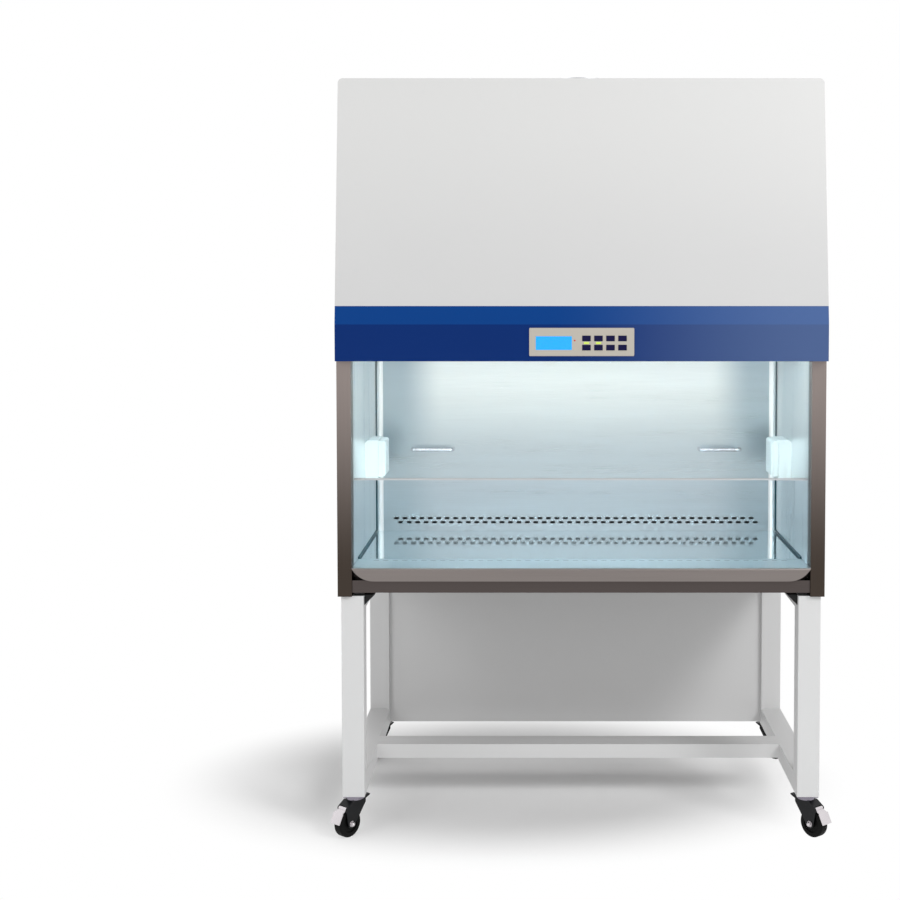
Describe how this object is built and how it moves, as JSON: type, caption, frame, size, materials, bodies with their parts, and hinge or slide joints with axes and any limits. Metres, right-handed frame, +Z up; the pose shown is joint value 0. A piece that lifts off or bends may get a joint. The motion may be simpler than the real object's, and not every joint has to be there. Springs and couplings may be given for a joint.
{
  "type": "biosafety cabinet",
  "caption": "Class II biosafety cabinet with a leaning hood, blue control fascia, sliding glass sash, steel work zone and a stand on castors.",
  "frame": {"origin": "on the floor, under the middle of the cabinet", "axes": "+X to the user's right, +Y from the front to the back, +Z up"},
  "size_m": [1.3462, 0.7886, 2.069],
  "materials": {
    "white_paint": "satin",
    "stand_paint": "satin",
    "blue_paint": "satin",
    "stainless": "satin",
    "galvanised": "matte",
    "bezel_grey": "matte",
    "display": "gloss",
    "key_navy": "satin",
    "circuit_board": "satin",
    "glass": "gloss",
    "aluminium": "satin",
    "filter_media": "matte",
    "motor_metal": "satin",
    "lamp_glass": "gloss",
    "white_plastic": "satin",
    "black_plastic": "satin",
    "castor_black": "satin",
    "wheel_rubber": "matte",
    "zinc": "satin",
    "wire_rope": "satin"
  },
  "bodies": {
    "cabinet": {"left_side_panel": "white_paint", "right_side_panel": "white_paint", "rear_panel": "white_paint", "top_panel": "white_paint", "hood_front_panel": "white_paint", "control_fascia": "blue_paint", "panel_bezel": "bezel_grey", "display_window": "display", "control_board": "circuit_board", "front_posts": "stainless", "base_pan": "stainless", "armrest_grille": "stainless", "work_surface": "stainless", "rear_wall": "stainless", "side_walls": "stainless", "rear_wall_bars": "stainless", "ceiling_diffuser": "galvanised", "filters": "filter_media", "pressure_plenum": "galvanised", "blower_motor": "motor_metal", "motor_bracket": "galvanised", "exhaust_collar": "aluminium", "power_gland": "black_plastic", "sash_guides": "aluminium", "sash_cables": "wire_rope", "sash_drive": "motor_metal", "lamp_housing": "aluminium", "work_lamps": "lamp_glass", "uv_lamp": "lamp_glass", "socket_boxes": "white_plastic", "stand_legs": "stand_paint", "stand_side_rails": "stand_paint", "stand_cross_rail": "stand_paint", "stand_rear_panel": "stand_paint", "leg_gussets": "black_plastic", "castor_mounts": "zinc"},
    "sash": {"sash_glass": "glass", "sash_rails": "aluminium"},
    "lift_shaft": {"sash_lift_shaft": "zinc"},
    "impeller": {"blower_impeller": "aluminium"},
    "right_cover": {"right_socket_cover": "white_plastic"},
    "left_cover": {"left_socket_cover": "white_plastic"},
    "key_1_body": {"key_1": "key_navy"},
    "key_2_body": {"key_2": "key_navy"},
    "key_3_body": {"key_3": "key_navy"},
    "key_4_body": {"key_4": "key_navy"},
    "key_5_body": {"key_5": "key_navy"},
    "key_6_body": {"key_6": "key_navy"},
    "key_7_body": {"key_7": "key_navy"},
    "key_8_body": {"key_8": "key_navy"},
    "front_right_swivel": {"front_right_fork": "castor_black"},
    "front_right_roller": {"front_right_wheel": "wheel_rubber"},
    "front_right_brake": {"front_right_pedal": "zinc"},
    "front_left_swivel": {"front_left_fork": "castor_black"},
    "front_left_roller": {"front_left_wheel": "wheel_rubber"},
    "front_left_brake": {"front_left_pedal": "zinc"},
    "rear_right_swivel": {"rear_right_fork": "castor_black"},
    "rear_right_roller": {"rear_right_wheel": "wheel_rubber"},
    "rear_left_swivel": {"rear_left_fork": "castor_black"},
    "rear_left_roller": {"rear_left_wheel": "wheel_rubber"}
  },
  "joints": [
    {"name": "sash_slide", "type": "slide", "parent": "cabinet", "child": "sash", "axis": [0, 0, 1], "range_m": [-0.228, 0.26], "deforming": ["sash_cables"]},
    {"name": "lift_shaft_turn", "type": "hinge", "parent": "cabinet", "child": "lift_shaft", "pos_m": [0, -0.2922, 1.865], "axis": [1, 0, 0], "range_deg": [-692, 607]},
    {"name": "impeller_spin", "type": "hinge", "parent": "cabinet", "child": "impeller", "pos_m": [0, 0.14725, 1.6805], "axis": [0, 1, 0], "continuous": true},
    {"name": "right_cover_flip", "type": "hinge", "parent": "cabinet", "child": "right_cover", "pos_m": [0.572, 0.02425, 1.036], "axis": [0, 1, 0], "range_deg": [0, 90], "stiffness_Nm_per_rad": 0.02, "springref_deg": -17.19},
    {"name": "left_cover_flip", "type": "hinge", "parent": "cabinet", "child": "left_cover", "pos_m": [-0.572, 0.02425, 1.036], "axis": [0, -1, 0], "range_deg": [0, 90], "stiffness_Nm_per_rad": 0.02, "springref_deg": -17.19},
    {"name": "key_1_press", "type": "slide", "parent": "cabinet", "child": "key_1_body", "axis": [0, 1, 0], "range_m": [0, 0.0008], "stiffness_N_per_m": 900, "springref_m": -0.0004},
    {"name": "key_2_press", "type": "slide", "parent": "cabinet", "child": "key_2_body", "axis": [0, 1, 0], "range_m": [0, 0.0008], "stiffness_N_per_m": 900, "springref_m": -0.0004},
    {"name": "key_3_press", "type": "slide", "parent": "cabinet", "child": "key_3_body", "axis": [0, 1, 0], "range_m": [0, 0.0008], "stiffness_N_per_m": 900, "springref_m": -0.0004},
    {"name": "key_4_press", "type": "slide", "parent": "cabinet", "child": "key_4_body", "axis": [0, 1, 0], "range_m": [0, 0.0008], "stiffness_N_per_m": 900, "springref_m": -0.0004},
    {"name": "key_5_press", "type": "slide", "parent": "cabinet", "child": "key_5_body", "axis": [0, 1, 0], "range_m": [0, 0.0008], "stiffness_N_per_m": 900, "springref_m": -0.0004},
    {"name": "key_6_press", "type": "slide", "parent": "cabinet", "child": "key_6_body", "axis": [0, 1, 0], "range_m": [0, 0.0008], "stiffness_N_per_m": 900, "springref_m": -0.0004},
    {"name": "key_7_press", "type": "slide", "parent": "cabinet", "child": "key_7_body", "axis": [0, 1, 0], "range_m": [0, 0.0008], "stiffness_N_per_m": 900, "springref_m": -0.0004},
    {"name": "key_8_press", "type": "slide", "parent": "cabinet", "child": "key_8_body", "axis": [0, 1, 0], "range_m": [0, 0.0008], "stiffness_N_per_m": 900, "springref_m": -0.0004},
    {"name": "front_right_swivel_turn", "type": "hinge", "parent": "cabinet", "child": "front_right_swivel", "pos_m": [0.612, -0.32075, 0.11], "axis": [0, 0, 1], "continuous": true},
    {"name": "front_right_wheel_roll", "type": "hinge", "parent": "front_right_swivel", "child": "front_right_roller", "pos_m": [0.63, -0.3422, 0.0375], "axis": [0.766, 0.6428, 0], "continuous": true},
    {"name": "front_right_brake_press", "type": "hinge", "parent": "front_right_swivel", "child": "front_right_brake", "pos_m": [0.639, -0.35292, 0.079], "axis": [0.766, 0.6428, 0], "range_deg": [0, 8]},
    {"name": "front_left_swivel_turn", "type": "hinge", "parent": "cabinet", "child": "front_left_swivel", "pos_m": [-0.612, -0.32075, 0.11], "axis": [0, 0, 1], "continuous": true},
    {"name": "front_left_wheel_roll", "type": "hinge", "parent": "front_left_swivel", "child": "front_left_roller", "pos_m": [-0.63, -0.3422, 0.0375], "axis": [0.766, -0.6428, 0], "continuous": true},
    {"name": "front_left_brake_press", "type": "hinge", "parent": "front_left_swivel", "child": "front_left_brake", "pos_m": [-0.639, -0.35292, 0.079], "axis": [0.766, -0.6428, 0], "range_deg": [0, 8]},
    {"name": "rear_right_swivel_turn", "type": "hinge", "parent": "cabinet", "child": "rear_right_swivel", "pos_m": [0.612, 0.35025, 0.11], "axis": [0, 0, 1], "continuous": true},
    {"name": "rear_right_wheel_roll", "type": "hinge", "parent": "rear_right_swivel", "child": "rear_right_roller", "pos_m": [0.63, 0.3288, 0.0375], "axis": [0.766, 0.6428, 0], "continuous": true},
    {"name": "rear_left_swivel_turn", "type": "hinge", "parent": "cabinet", "child": "rear_left_swivel", "pos_m": [-0.612, 0.35025, 0.11], "axis": [0, 0, 1], "continuous": true},
    {"name": "rear_left_wheel_roll", "type": "hinge", "parent": "rear_left_swivel", "child": "rear_left_roller", "pos_m": [-0.63, 0.3288, 0.0375], "axis": [0.766, -0.6428, 0], "continuous": true}
  ],
  "couplings": [
    {"joint": "lift_shaft_turn", "follows": "sash_slide", "rad_per_m": -46.404}
  ]
}
